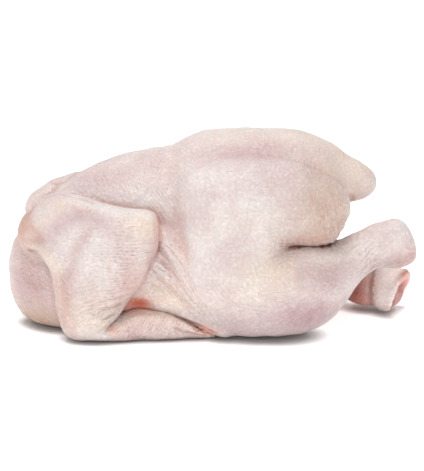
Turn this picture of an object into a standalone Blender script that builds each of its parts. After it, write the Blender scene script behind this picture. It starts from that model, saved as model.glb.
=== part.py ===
"""A whole raw dressed chicken lying on its breast, back up, as one closed solid.

+X is the tail end, -Y the bird's left side and +Z up. The flesh is a distance field: padded ellipsoids, round limbs
carried along smooth lines and standing plates for the wings, joined softly and cut flat where the bird lies.
The field is turned into one closed skin, thinned to a size a solid can carry, and set with the middle of its
footprint at the origin. Sizes are in millimetres, and the mesh is in metres.
"""

import bmesh
import bpy
import numpy as np
import openvdb

MM = 0.001
GRID_STEP = 2.6  # mm between grid points
ROUGH_RATIO = 4  # the first grid is this much coarser
MOST_TRIANGLES = 11600
ROOM_LOW = (-152, -88, -5)
ROOM_HIGH = (158, 88, 150)

CREASE_BLEND = 2.5  # where two parts only touch
FOLD_BLEND = 4.0  # where skin lies over skin
FLESH_BLEND = 16.0  # where muscle runs into muscle

# x, y, z and radius of the round parts, on the bird's left where there are two
TAIL = ((58, 0, 114, 22), (78, 0, 110.5, 18.5), (93, 0, 105.5, 15.5), (105, 0, 100.3, 12.6))
NECK_SKIN = ((-92, 10, 88, 18), (-107, 10, 86, 15), (-121, 8, 80, 13))
RAISED_LEG = (
    (0, -34, 30, 26), (20, -38, 30, 31), (42, -42, 33, 35), (58, -43, 36, 33.5), (71, -40, 40, 28.5),
    (84, -35.5, 44.5, 21.5), (96, -32, 50, 16.5), (106, -30, 55.5, 14.8), (118, -27.5, 60.5, 15.5), (130, -26, 62, 17.5),
)
LOWERED_LEG = (
    (0, 36, 30, 26), (25, 40, 30, 31), (48, 42, 31, 32), (72, 38.5, 32, 27), (92, 30, 27, 19),
    (106, 24.5, 22, 15.3), (120, 19, 18, 15.3), (130, 14, 16, 16.5), (142, 7.5, 12.5, 18.5),
)
RAISED_CUT = ((140.5, -23.5, 66.5), (0.88, 0.25, 0.4))  # a point of the cut, and where it faces
LOWERED_CUT = ((141, 8, 14.5), (0.883, -0.35, -0.289))
LONG_FOLD = ((-38, -50, 80, 6), (-24, -49, 61, 5), (-8, -50, 36, 5), (3, -52, 19, 5), (12, -52, 6, 5))
SHORT_FOLD = ((-42, -48, 58, 5), (-26, -46, 42, 4.5), (-8, -48, 24, 4.5), (6, -50, 9, 5))

# x and z round the wing and its tip, seen from the side, and down the lines that are thick in it
WING = (
    (-124, 86), (-112, 97), (-99, 101.5), (-79, 99), (-54, 95.5), (-42, 94), (-35, 89), (-32.5, 79),
    (-36, 63), (-42, 53), (-47.5, 39), (-56, 27), (-66, 12), (-76, 0), (-90, -3), (-101, 6),
    (-105.5, 22), (-106.5, 38), (-109, 50), (-116, 57), (-126, 61), (-131, 74),
)
WING_TIP = (
    (-76, 8), (-66, 15), (-57, 20), (-49, 23), (-40, 24), (-30, 22), (-17, 14.5),
    (-6, 8.5), (6, 5), (13, 1.5), (12, -6), (-10, -8), (-40, -8), (-76, -8),
)
FOREARM = ((-47, 80), (-60, 57), (-70, 35), (-80, 14))
UPPER_ARM = ((-114, 84), (-95, 90), (-70, 88), (-48, 84))
FRONT_EDGE = ((-122, 66), (-111, 60), (-104, 48), (-101, 30), (-98, 12))
LOWER_WING = 1 / 1.1  # the right wing lies this much flatter
BACKING = 12  # mm of flesh behind a wing plate

# x, y and z along the creases
FLANK = (
    (-27, -22, 128), (-30, -34, 119), (-28, -43, 107), (-27, -49, 94), (-25, -52, 81),
    (-20, -53, 68), (-11, -54, 50), (5, -56, 26), (14, -57, 8),
)
HIP = (
    (-14, -28, 128), (20, -31, 128), (38, -29, 128), (56, -27, 123), (76, -22, 117),
    (91, -17, 104), (97, -12, 93), (97, 0, 88),
)
KEEL = ((-131, 0, 66), (-143, 0, 45), (-142, 0, 22), (-131, 0, 2))
VENT = ((95, 0, 84), (88, 0, 62), (82, 0, 40), (76, 0, 14))
KNEE_FOLD = ((54, -67, 66), (62, -63, 66.5), (72, -57, 66.5), (80, -48, 65), (88, -34, 63))


def length(v):
    return np.sqrt(np.einsum("...i,...i->...", v, v))


def ease(x, low, high):
    t = np.clip((x - low) / (high - low), 0, 1)
    return t * t * (3 - 2 * t)


def bump(distance, width):
    return np.exp(-((distance / width) ** 2))


def union(a, b, blend):
    """The joined field, with the seam filled over a width of blend."""
    h = np.clip(0.5 + 0.5 * (b - a) / blend, 0, 1)
    return b + (a - b) * h - blend * h * (1 - h)


def mass(p, centre, size, pitch=0.0, power=2.0):
    """An ellipsoid, squarer with a higher power. A positive pitch lifts its +X end."""
    c, s = np.cos(np.radians(pitch)), np.sin(np.radians(pitch))
    q = (p - np.array(centre)) @ np.array([[c, 0, -s], [0, 1, 0], [s, 0, c]])
    size = np.array(size, float)
    share = np.abs(q / size) + 1e-9
    reach = (share**power).sum(-1) ** (1 / power)
    slope = length(share ** (power - 1) / size) * reach ** (1 - power)
    return (reach - 1) / np.maximum(slope, 1e-6)


def smooth_line(points, steps):
    """A Catmull-Rom line through the points, with this many samples in each span."""
    points = np.array(points, float)
    ends = np.vstack([2 * points[0] - points[1], points, 2 * points[-1] - points[-2]])
    t = np.linspace(0, 1, steps, endpoint=False)[:, None]
    spans = []
    for a, b, c, d in zip(ends[:-3], ends[1:-2], ends[2:-1], ends[3:]):
        spans.append(0.5 * (2 * b + (c - a) * t + (2 * a - 5 * b + 4 * c - d) * t**2 + (3 * b - a - 3 * c + d) * t**3))
    return np.vstack(spans + [points[-1:]])


def limb(p, stations, wide=1.0):
    """A round rod along a smooth line, this much wider across the bird than it is tall."""
    line = smooth_line(stations, 5)
    squeeze = np.array([1, 1 / wide, 1])
    centre, radius = line[:, :3] * squeeze, line[:, 3]
    q = p * squeeze
    reach = radius.max() + 30
    near = ((q > centre.min(0) - reach) & (q < centre.max(0) + reach)).all(-1)
    field = np.full(len(p), 30.0)
    q = q[near]
    best = np.full(len(q), 1e9)
    for a, b, ra, rb in zip(centre[:-1], centre[1:], radius[:-1], radius[1:]):
        t = np.clip((q - a) @ (b - a) / ((b - a) @ (b - a)), 0, 1)
        best = np.minimum(best, length(q - a - t[:, None] * (b - a)) - ra - (rb - ra) * t)
    field[near] = best
    return field


def near_line(p, points):
    """How far each place is from a smooth line."""
    line = smooth_line(points, 6)
    best = np.full(p.shape[:-1], 1e9)
    for a, b in zip(line[:-1], line[1:]):
        t = np.clip((p - a) @ (b - a) / ((b - a) @ (b - a)), 0, 1)
        best = np.minimum(best, length(p - a - t[..., None] * (b - a)))
    return best


def outline(q, corners):
    """How far each x,z place is from a closed smooth outline, less than nothing inside it."""
    corners = np.array(corners, float)
    ring = smooth_line(np.vstack([corners[-2:], corners, corners[:2]]), 3)[6:-4]
    inside = np.zeros(len(q), bool)
    for a, b in zip(ring, np.roll(ring, -1, 0)):
        level = b[1] - a[1] if b[1] != a[1] else 1e-9
        crossed = (a[1] > q[:, 1]) != (b[1] > q[:, 1])
        inside ^= crossed & (q[:, 0] < a[0] + (q[:, 1] - a[1]) * (b[0] - a[0]) / level)
    away = np.full(len(q), 1e9)
    for a, b in zip(ring, np.roll(ring, -1, 0)):
        t = np.clip((q - a) @ (b - a) / max((b - a) @ (b - a), 1e-9), 0, 1)
        away = np.minimum(away, length(q - a - t[:, None] * (b - a)))
    return np.where(inside, -away, away)


def plate(p, corners, low, high, shape):
    """A padded plate that stands along the bird and is backed with flesh up to the body.

    shape gives its middle and half thickness at x,z places.
    """
    field = np.full(len(p), 25.0)
    near = ((p > np.array(low) - 12) & (p < np.array(high) + 12)).all(1)
    q = p[near][:, [0, 2]]
    middle, thick = shape(q)
    edge = np.maximum(outline(q, corners) + thick, 0)
    out = p[near][:, 1] - middle
    field[near] = np.hypot(edge, np.where(out > 0, np.maximum(out - BACKING, 0), out)) - thick
    return field


def wing_shape(q):
    x, z = q.T
    middle = -(35 + 21 * ease(x, -134, -92)) + 7 * ease(z, 68, 100)
    forearm = bump(near_line(q, FOREARM), 16)
    upper = bump(near_line(q, UPPER_ARM), 10) * (1 - 0.6 * forearm)
    return middle, 4.5 + 7.5 * forearm + 4 * upper + 3 * bump(near_line(q, FRONT_EDGE), 5)


def tip_shape(q):
    x, z = q.T
    return -55 + 5 * ease(z, 8, 24) + 5 * ease(x, -60, 0), 6.2 - 2.4 * ease(x, -30, 10)


def sliced(field, p, cut, blend):
    """The field with its end cut off square and the rim rounded."""
    place, facing = np.array(cut[0], float), np.array(cut[1], float)
    return -union(-field, -((p - place) @ (facing / length(facing))), blend)


def chicken(p):
    """The distance in mm from places in mm to the skin, less than nothing inside."""
    mirrored = p * np.array([1, -1, 1])
    sides = (p, mirrored)
    d = mass(p, (-71, 0, 33), (74, 51, 48), power=2.35)  # breast
    d = union(d, mass(p, (-56, 0, 74), (85, 46, 45.5), pitch=20), FLESH_BLEND)  # ribs and back
    d = union(d, mass(p, (30, 0, 96), (64, 42, 42), pitch=-0.5, power=2.9), 8)  # pelvis
    d = union(d, mass(p, (34, 0, 62), (52, 48, 58)), FLESH_BLEND)  # belly
    d = union(d, mass(p, (22, 0, 40), (58, 46, 45)), FLESH_BLEND)  # where it meets the breast
    d = union(d, limb(p, TAIL, 1.2), 6)
    d = union(d, mass(p, (80, 0, 104), (31, 29, 18), pitch=-28), 6)  # root of the tail
    for side in sides:
        thigh = mass(side, (34, -28, 94.5), (60.5, 38.5, 33.5), pitch=-3, power=2.4)
        knee = mass(side, (14, -30, 60), (41, 39, 54), power=2.2)
        d = union(d, union(thigh, knee, 14), 8)
        d = d + 3 * bump(near_line(side, FLANK), 7) + 1.4 * bump(near_line(side, HIP), 4)
    d = d + 5 * bump(near_line(p, KEEL), 7) + 8 * bump(near_line(p, VENT), 3.5)
    d = union(d, limb(p, NECK_SKIN, 1.4), CREASE_BLEND)
    for side in sides:
        d = union(d, mass(side, (-110, -27, 69), (24, 22, 22), pitch=-10), FOLD_BLEND)  # shoulder
    behind = CREASE_BLEND + 20 * (1 - ease(p[:, 0], 30, 56))
    d = union(d, sliced(limb(p, RAISED_LEG, 0.92), p, RAISED_CUT, 5), behind)
    d = union(d, sliced(limb(p, LOWERED_LEG), p, LOWERED_CUT, 2), behind)
    for side in sides:
        d = d + 3 * bump(near_line(side, KNEE_FOLD), 2.6)
    for side in (p, mirrored * np.array([1, 1, 1 / LOWER_WING])):
        folds = union(limb(side, LONG_FOLD), limb(side, SHORT_FOLD), 3)
        d = union(d, folds, 6)
        d = union(d, plate(side, WING_TIP, (-80, -70, -10), (16, -40, 26), tip_shape), CREASE_BLEND)
        d = union(d, plate(side, WING, (-135, -75, -4), (-28, -20, 106), wing_shape), 3)
    return np.maximum(d, -p[:, 2])


def field_on_grid():
    """The field on a rough grid, filled in, then worked out again near the skin on the fine one."""
    counts = [int(np.ceil((high - low) / (GRID_STEP * ROUGH_RATIO))) for low, high in zip(ROOM_LOW, ROOM_HIGH)]
    axes = [low + GRID_STEP * ROUGH_RATIO * np.arange(n + 1) for low, n in zip(ROOM_LOW, counts)]
    places = np.stack(np.meshgrid(*axes, indexing="ij"), -1)
    grid = chicken(places.reshape(-1, 3)).reshape(places.shape[:-1])
    for axis, n in enumerate(counts):
        at = np.arange(n * ROUGH_RATIO + 1)
        lower = np.minimum(at // ROUGH_RATIO, n - 1)
        share = ((at - lower * ROUGH_RATIO) / ROUGH_RATIO).reshape([-1 if a == axis else 1 for a in range(3)])
        grid = np.take(grid, lower, axis) * (1 - share) + np.take(grid, lower + 1, axis) * share
    near = np.abs(grid) < GRID_STEP * ROUGH_RATIO * 1.2
    grid[near] = chicken(np.array(ROOM_LOW) + GRID_STEP * np.argwhere(near))
    return grid


def settled(points):
    """The points moved along the field's slope until they lie on the skin."""
    for _ in range(2):
        here = chicken(points)
        slope = np.stack([(chicken(points + 0.2 * axis) - here) / 0.2 for axis in np.eye(3)], -1)
        step = -here[:, None] * slope / np.maximum((slope**2).sum(1), 0.05)[:, None]
        points = points + step * np.minimum(1, 1.5 / np.maximum(length(step), 1e-9))[:, None]
    return points


def skin_mesh():
    """The closed skin as a mesh in metres, thinned to MOST_TRIANGLES."""
    grid = openvdb.FloatGrid()
    grid.copyFromArray(field_on_grid().astype(np.float32))
    points, triangles, quads = grid.convertToPolygons(isovalue=0.0, adaptivity=0.0)
    points = settled(points * GRID_STEP + np.array(ROOM_LOW))
    mesh = bpy.data.meshes.new("skin")
    mesh.from_pydata((points * MM).tolist(), [], quads[:, ::-1].tolist() + triangles[:, ::-1].tolist())
    fine = bpy.data.objects.new("fine", mesh)
    bpy.context.scene.collection.objects.link(fine)
    soft = fine.modifiers.new("Soft", "SMOOTH")  # takes the grid's steps out of the creases
    soft.iterations = 3
    thin = fine.modifiers.new("Thin", "DECIMATE")
    thin.ratio = MOST_TRIANGLES / (2 * len(quads) + len(triangles))
    thin.use_collapse_triangulate = True
    graph = bpy.context.evaluated_depsgraph_get()
    thinned = bpy.data.meshes.new_from_object(fine.evaluated_get(graph))
    bpy.data.objects.remove(fine)
    return thinned


def set_down(mesh):
    """Flattens the face it lies on, puts the middle of its footprint at the origin and turns its faces out."""
    points = np.empty(len(mesh.vertices) * 3)
    mesh.vertices.foreach_get("co", points)
    points = points.reshape(-1, 3)
    points[points[:, 2] < 0.4 * MM, 2] = 0
    points[:, :2] -= (points[:, :2].min(0) + points[:, :2].max(0)) / 2
    mesh.vertices.foreach_set("co", points.ravel())
    shell = bmesh.new()
    shell.from_mesh(mesh)
    bmesh.ops.recalc_face_normals(shell, faces=shell.faces)
    shell.to_mesh(mesh)
    shell.free()


def main():
    for old in list(bpy.data.objects):
        bpy.data.objects.remove(old)
    mesh = skin_mesh()
    set_down(mesh)
    mesh.shade_smooth()
    skin = bpy.data.materials.new("raw_skin")
    skin.use_nodes = True
    surface = skin.node_tree.nodes["Principled BSDF"]
    surface.inputs["Base Color"].default_value = (0.80, 0.66, 0.61, 1)
    surface.inputs["Roughness"].default_value = 0.5
    mesh.materials.clear()
    mesh.materials.append(skin)
    bird = bpy.data.objects.new("chicken", mesh)
    bpy.context.scene.collection.objects.link(bird)


main()
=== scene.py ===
"""A whole raw dressed chicken lying on its breast, back up, with its skin, folds and cut leg end.

+X is the tail end, -Y the bird's left side and +Z up. The skin is one closed surface: a distance field
made of padded ellipsoids, round limbs and standing plates is turned into a mesh, and folds, grooves and
ridges are raised on it along its normals. Values on each point say where fat, muscle, blood and fine
wrinkles show through, and where shade and light are painted on. Places inside the field are in
millimetres, and meshes are in metres.
"""

import bpy
import numpy as np
import openvdb
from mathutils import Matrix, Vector


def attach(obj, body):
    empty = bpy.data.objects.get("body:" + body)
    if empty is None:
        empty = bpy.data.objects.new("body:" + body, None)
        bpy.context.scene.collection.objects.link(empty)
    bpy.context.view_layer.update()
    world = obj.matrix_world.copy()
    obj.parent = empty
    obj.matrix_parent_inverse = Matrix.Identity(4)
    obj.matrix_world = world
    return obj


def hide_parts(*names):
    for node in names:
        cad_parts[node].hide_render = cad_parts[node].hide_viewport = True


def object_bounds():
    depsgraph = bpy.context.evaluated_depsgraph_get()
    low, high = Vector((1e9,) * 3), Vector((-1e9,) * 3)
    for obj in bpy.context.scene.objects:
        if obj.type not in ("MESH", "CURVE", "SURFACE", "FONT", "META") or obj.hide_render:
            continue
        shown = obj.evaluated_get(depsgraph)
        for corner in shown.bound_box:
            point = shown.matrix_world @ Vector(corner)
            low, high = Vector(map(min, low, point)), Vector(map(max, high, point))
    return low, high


bl_info = {
    "name": "Raw Chicken",
    "version": (1, 0, 0),
    "blender": (4, 5, 0),
    "location": "View3D > Sidebar > Chicken",
    "description": "Builds a whole raw dressed chicken and a pale studio floor with soft light",
    "category": "Add Mesh",
}

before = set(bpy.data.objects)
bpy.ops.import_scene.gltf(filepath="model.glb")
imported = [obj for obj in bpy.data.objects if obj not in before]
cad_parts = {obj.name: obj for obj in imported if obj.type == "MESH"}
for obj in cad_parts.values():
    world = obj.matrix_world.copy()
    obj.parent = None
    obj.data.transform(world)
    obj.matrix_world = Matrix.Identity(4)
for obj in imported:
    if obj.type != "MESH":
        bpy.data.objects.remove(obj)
CAD_BOX = [list(corner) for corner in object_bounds()]

MM = 0.001
WHITE = (1, 1, 1, 1)
FAR = 1e9  # further than anything

# in mm
ROOM_LOW = (-152, -88, -5)  # the space the field is worked out in
ROOM_HIGH = (158, 88, 150)
RESTS_BELOW = 0.4  # skin lower than this lies on the floor
CREASE_BLEND = 1.6  # where two parts only touch
FOLD_BLEND = 3.0  # where skin lies over skin
FLESH_BLEND = 16.0  # where muscle runs into muscle
LIMB_REACH = 30.0  # a limb's field is worked out this far round it, and is this beyond
PLATE_REACH = 12  # the same for a plate, whose field is PLATE_BEYOND further out
PLATE_BEYOND = 25.0
CREASE_REACH = 9.0  # a crease's sides are told apart this far round it
BACKING = 12  # flesh behind a wing plate
FLOOR_GAP = 5  # height above the floor at which its distance from the bird is taken
STROKE_REACH = 2.6  # widths, as far as a stroke is worked out

# in metres
FLOOR_HALF = 30.0
FLOOR_FINE = (0.2, 0.13)  # half sizes of the part of the floor with a fine grid
FLOOR_STEP = 0.005
AIM_ALONG = 0.0015  # how far towards the tail from the bird's own origin the camera looks
CUT_END_ALONG = 0.175  # and how far from there the small light at the cut leg shines

LOWER_WING = 1 / 1.1  # the right wing lies this much flatter
FLIP = (1, -1, 1)  # carries a place over to the bird's other side

# x, y, z and radius of the round parts, on the bird's left where there are two
TAIL = (
    (58, 0, 114, 22), (78, 0, 110.5, 18.5), (91, 0, 106.3, 14.8),
    (100, 0, 102.6, 13.8), (106.5, 0, 99.6, 11.6),
)
NECK_SKIN = ((-92, 10, 88, 18), (-107, 10, 86, 15), (-121, 8, 80, 13))
RAISED_LEG = (
    (0, -34, 30, 26), (20, -38, 30, 31), (42, -42, 33, 35), (58, -43, 36, 33.5), (71, -40, 40, 28.5),
    (84, -35.5, 44.5, 21.5), (96, -32, 50, 16.5), (106, -30, 55.5, 14.8), (118, -27.5, 60.5, 15.5),
    (130, -26, 62, 17.5),
)
LOWERED_LEG = (
    (0, 36, 30, 26), (25, 40, 30, 31), (48, 42, 31, 32), (72, 38.5, 32, 27), (92, 30, 27, 19),
    (106, 24, 21.5, 15.5), (116, 19, 17.5, 15.5), (128, 14.5, 16.5, 15),
)
CUFF = ((128, 14.5, 17, 16.5), (135, 11, 15.5, 17.8), (143, 7, 14, 17))  # skin rolled back at its end
LONG_FOLD = ((-38, -50, 80, 6), (-24, -49, 61, 5), (-8, -50, 36, 5), (3, -52, 19, 5), (12, -52, 6, 5))
SHORT_FOLD = ((-42, -48, 58, 5), (-26, -46, 42, 4.5), (-8, -48, 24, 4.5), (6, -50, 9, 5))
FLAP = ((-30, -47, 22, 3.5), (-15, -49.5, 16, 4.5), (0, -52, 9.5, 4.5), (10, -55.5, 6, 4))

# a point of each leg's cut, and where the cut faces
RAISED_CUT = ((140.2, -23.5, 66.5), (0.91, 0.25, 0.31))
LOWERED_CUT = ((139.5, 7, 14.5), (0.83, -0.46, -0.31))

# x and z round the wing and its tip, seen from the side
WING = (
    (-124, 86), (-112, 96.5), (-99, 100.5), (-79, 96), (-54, 91.5), (-42, 91), (-35, 87), (-32.5, 78),
    (-36, 63), (-42, 53), (-47.5, 39), (-56, 27), (-66, 12), (-76, 0), (-90, -3), (-101, 6),
    (-106.5, 22), (-108, 38), (-111, 49), (-118, 56), (-127, 60), (-131, 74),
)
WING_TIP = (
    (-80, 13), (-68, 17), (-58, 19.5), (-49, 20.5), (-40, 20.5), (-30, 19.5), (-19, 15.5),
    (-9, 9), (3, 5), (10, 1), (9, -6), (-10, -8), (-40, -8), (-76, -8),
)

# x and z down the lines that are thick, hollow or raised in the wing
FOREARM = ((-47, 80), (-60, 57), (-70, 35), (-80, 14))
UPPER_ARM = ((-114, 84), (-95, 90), (-70, 88), (-48, 84))
FRONT_EDGE = ((-122, 66), (-111, 60), (-104, 48), (-101, 30), (-98, 12))
WING_GROOVE = ((-77, 91), (-83, 78), (-91, 63), (-96, 48), (-99, 31), (-102, 15))
WING_BRACE = ((-98, 95), (-109, 86), (-121, 74))
WING_SLANT = ((-88, 91), (-97, 86), (-106, 79), (-114, 71))  # the hollow below the brace
WING_REAR = ((-35, 86), (-34, 76), (-37, 64), (-43, 53), (-48.5, 39), (-57, 27))
HAND_EDGE = ((-66, 10), (-57, 14.5), (-49, 17.5), (-40, 18), (-31, 17), (-20, 13.5), (-9, 8), (3, 4))

# x, y and z along creases and folds
FLANK = (
    (-27, -22, 128), (-30, -34, 119), (-28, -43, 107), (-27, -49, 94), (-25, -52, 81),
    (-20, -53, 68), (-11, -54, 50), (5, -56, 26), (14, -57, 8),
)
HIP = ((-14, -30, 129), (0, -34, 130), (21, -36, 129), (41, -39, 128), (54, -41, 125), (69, -42, 121))
TAIL_FOLD = (
    (69, -42, 121), (76, -40.5, 118), (82, -41, 115), (87, -40.5, 109),
    (92, -38, 103), (96, -28, 96), (99, -19, 91),
)
KNEE_SKIN = ((55, -64, 65), (56, -70, 55), (57, -74, 43))  # thick skin where the thigh ends
FRONT_TUCK = (
    (-123, -43, 60), (-119, -46, 60), (-115, -48, 58), (-112, -49, 53), (-109, -50, 46), (-108, -51, 39),
)
WING_TOP = (
    (-130, -33, 80), (-126, -30, 87), (-119, -28, 93), (-108, -35, 98),
    (-100, -41, 100.5), (-91, -46, 100.5), (-81, -50, 98.5), (-72, -52, 97),
)
FLAP_FOLDS = (
    ((-24, -53, 16), (-11, -55, 12.5), (1, -58, 8)),
    ((-22, -55, 9), (-14, -57, 6.5), (-6, -58, 4)),
)
NECK_CREASES = (
    ((-104, 4, 103), (-110, -2, 98), (-113, -7, 94)),
    ((-91, -15, 105), (-98, -24, 103), (-102, -38, 101)),
)
KEEL = ((-131, 0, 66), (-143, 0, 45), (-142, 0, 22), (-131, 0, 2))
VENT = ((95, 0, 84), (88, 0, 62), (82, 0, 40), (76, 0, 14))


def length(v):
    """The square root of the sum of squares along the last axis."""
    return np.sqrt(np.einsum("...i,...i->...", v, v))


def ease(x, low, high):
    """0 below low, 1 above high and a smooth step 3t^2 - 2t^3 between them."""
    t = np.clip((x - low) / (high - low), 0, 1)
    return t * t * (3 - 2 * t)


def bump(distance, width):
    """exp(-(distance / width)^2)."""
    return np.exp(-((distance / width) ** 2))


def union(a, b, blend):
    """The joined field, with the seam filled over a width of blend."""
    h = np.clip(0.5 + 0.5 * (b - a) / blend, 0, 1)
    return b + (a - b) * h - blend * h * (1 - h)


def tucked(a, b, blend, depth, width, seams=None):
    """The joined field with a groove of this depth and half width along the line where the two skins meet.

    seams collects a - b, which is nothing on that line and has the other sign on its other side.
    """
    if seams is not None:
        seams.append(a - b)
    return union(a, b, blend) + depth * bump(a - b, width)


def mass(p, centre, size, pitch=0.0, power=2.0):
    """An ellipsoid, squarer with a higher power. A positive pitch lifts its +X end."""
    c, s = np.cos(np.radians(pitch)), np.sin(np.radians(pitch))
    q = (p - np.array(centre)) @ np.array([[c, 0, -s], [0, 1, 0], [s, 0, c]])
    size = np.array(size, float)
    share = np.abs(q / size) + 1e-9
    reach = (share**power).sum(-1) ** (1 / power)
    slope = length(share ** (power - 1) / size) * reach ** (1 - power)
    return (reach - 1) / np.maximum(slope, 1e-6)


def most(*values):
    """The greatest of the values at each point."""
    return np.maximum.reduce(values)


def near_box(p, corners, margin):
    """Whether each place is inside the box round the corners, grown by this margin on every side."""
    return ((p > corners.min(0) - margin) & (p < corners.max(0) + margin)).all(-1)


def from_span(q, a, b):
    """Each place's offset from the nearest point of the straight span a to b, and how far along that is.

    The share of the way is (q - a).(b - a) / |b - a|^2, kept between 0 and 1.
    """
    t = np.clip((q - a) @ (b - a) / max((b - a) @ (b - a), 1e-9), 0, 1)
    return q - a - t[:, None] * (b - a), t


def smooth_line(points, steps):
    """A Catmull-Rom line through the points, with this many samples in each span."""
    points = np.array(points, float)
    ends = np.vstack([2 * points[0] - points[1], points, 2 * points[-1] - points[-2]])
    t = np.linspace(0, 1, steps, endpoint=False)[:, None]
    spans = []
    for a, b, c, d in zip(ends[:-3], ends[1:-2], ends[2:-1], ends[3:]):
        square = (2 * a - 5 * b + 4 * c - d) * t**2
        cube = (3 * b - a - 3 * c + d) * t**3
        spans.append(0.5 * (2 * b + (c - a) * t + square + cube))
    return np.vstack(spans + [points[-1:]])


def limb(p, stations, wide=1.0):
    """A round rod along a smooth line, this much wider across the bird than it is tall.

    Its field is the distance from the nearest point of the line, less the radius there.
    """
    line = smooth_line(stations, 5)
    squeeze = np.array([1, 1 / wide, 1])
    centre, radius = line[:, :3] * squeeze, line[:, 3]
    q = p * squeeze
    near = near_box(q, centre, radius.max() + LIMB_REACH)
    field = np.full(len(p), LIMB_REACH)
    q = q[near]
    best = np.full(len(q), FAR)
    for a, b, radius_a, radius_b in zip(centre[:-1], centre[1:], radius[:-1], radius[1:]):
        away, share = from_span(q, a, b)
        best = np.minimum(best, length(away) - radius_a - (radius_b - radius_a) * share)
    field[near] = best
    return field


def stroke(q, points, width):
    """bump() of the distance from a smooth line, in two or three dimensions, and nothing far from it."""
    line = smooth_line(points, 6)
    near = near_box(q, line, STROKE_REACH * width)
    close = q[near]
    best = np.full(len(close), FAR)
    for a, b in zip(line[:-1], line[1:]):
        best = np.minimum(best, length(from_span(close, a, b)[0]))
    value = np.zeros(len(q))
    value[near] = bump(best, width)
    return value


def outline(q, corners):
    """How far each x,z place is from a closed smooth outline, less than nothing inside it.

    A place is inside when a ray from it crosses the outline an odd number of times.
    """
    corners = np.array(corners, float)
    ring = smooth_line(np.vstack([corners[-2:], corners, corners[:2]]), 3)[6:-4]
    inside = np.zeros(len(q), bool)
    away = np.full(len(q), FAR)
    for a, b in zip(ring, np.roll(ring, -1, 0)):
        level = b[1] - a[1] if b[1] != a[1] else 1e-9
        crossed = (a[1] > q[:, 1]) != (b[1] > q[:, 1])
        inside ^= crossed & (q[:, 0] < a[0] + (q[:, 1] - a[1]) * (b[0] - a[0]) / level)
        away = np.minimum(away, length(from_span(q, a, b)[0]))
    return np.where(inside, -away, away)


def plate(p, corners, low, high, shape):
    """A padded plate that stands along the bird and is backed with flesh up to the body.

    shape gives its middle and half thickness at x,z places. Its field is the distance from its middle
    sheet, shrunk by the half thickness at the outline, less that half thickness.
    """
    field = np.full(len(p), PLATE_BEYOND)
    near = near_box(p, np.array((low, high)), PLATE_REACH)
    q = p[near][:, [0, 2]]
    middle, thick = shape(q)
    edge = np.maximum(outline(q, corners) + thick, 0)
    out = p[near][:, 1] - middle
    field[near] = np.hypot(edge, np.where(out > 0, np.maximum(out - BACKING, 0), out)) - thick
    return field


def wing_shape(q):
    """The wing's middle leans in towards the neck and the top, and it is thick along its bones."""
    x, z = q.T
    middle = -(35 + 21 * ease(x, -134, -92)) + 7 * ease(z, 68, 100)
    forearm = stroke(q, FOREARM, 16)
    upper = stroke(q, UPPER_ARM, 10) * (1 - 0.6 * forearm)
    return middle, 4.5 + 7.5 * forearm + 4 * upper + 3 * stroke(q, FRONT_EDGE, 5)


def tip_shape(q):
    """The wing's tip leans in towards the top and the tail, and is thicker where it leaves the wing."""
    x, z = q.T
    middle = -54.5 + 3 * ease(z, 8, 24) + 3 * ease(x, -45, 5)
    return middle, 6.0 - 2.4 * ease(x, -30, 10) + 3 * bump(x + 66, 12)


def sliced(field, p, cut, blend, dish=0.0):
    """The field with all beyond the cut's plane taken off, the rim rounded and the face hollowed by dish."""
    place, facing = np.array(cut[0], float), np.array(cut[1], float)
    facing = facing / length(facing)
    along = (p - place) @ facing
    across = length(p - place - along[:, None] * facing)
    return -union(-field, -(along + dish * bump(across, 11)), blend)


def trunk(p, sides):
    """The breast, back, belly, thighs and tail joined, with the hollows of the flank, keel and vent."""
    d = mass(p, (-71, 0, 33), (74, 51, 48), power=2.35)  # breast
    d = union(d, mass(p, (-56, 0, 74), (85, 46, 45.5), pitch=20), FLESH_BLEND)  # ribs and back
    d = union(d, mass(p, (30, 0, 96), (64, 42, 42), pitch=-0.5, power=2.9), 8)  # pelvis
    d = union(d, mass(p, (34, 0, 62), (52, 48, 58)), FLESH_BLEND)  # belly
    d = union(d, mass(p, (22, 0, 40), (58, 46, 45)), FLESH_BLEND)  # where it meets the breast
    d = union(d, limb(p, TAIL, 1.2), 6)
    d = union(d, mass(p, (80, 0, 106), (31, 29, 15.5), pitch=-28), 6)  # root of the tail
    for side in sides:
        thigh = mass(side, (34, -28, 94.5), (60.5, 38.5, 33.5), pitch=-3, power=2.4)
        knee = mass(side, (14, -30, 60), (41, 39, 54), power=2.2)
        rump = mass(side, (68, -35, 86), (28, 24, 24.5), power=2.4)
        d = union(d, union(union(thigh, knee, 14), rump, 8), 8) + 4.5 * spot(side, (97, -32, 72), (9, 22, 10))
        d = d + 3 * stroke(side, FLANK, 7) + 1.4 * stroke(side, HIP, 4) + 2.8 * stroke(side, TAIL_FOLD, 2.8)
    return d + 5 * stroke(p, KEEL, 7) + 8 * stroke(p, VENT, 3.5)


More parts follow.
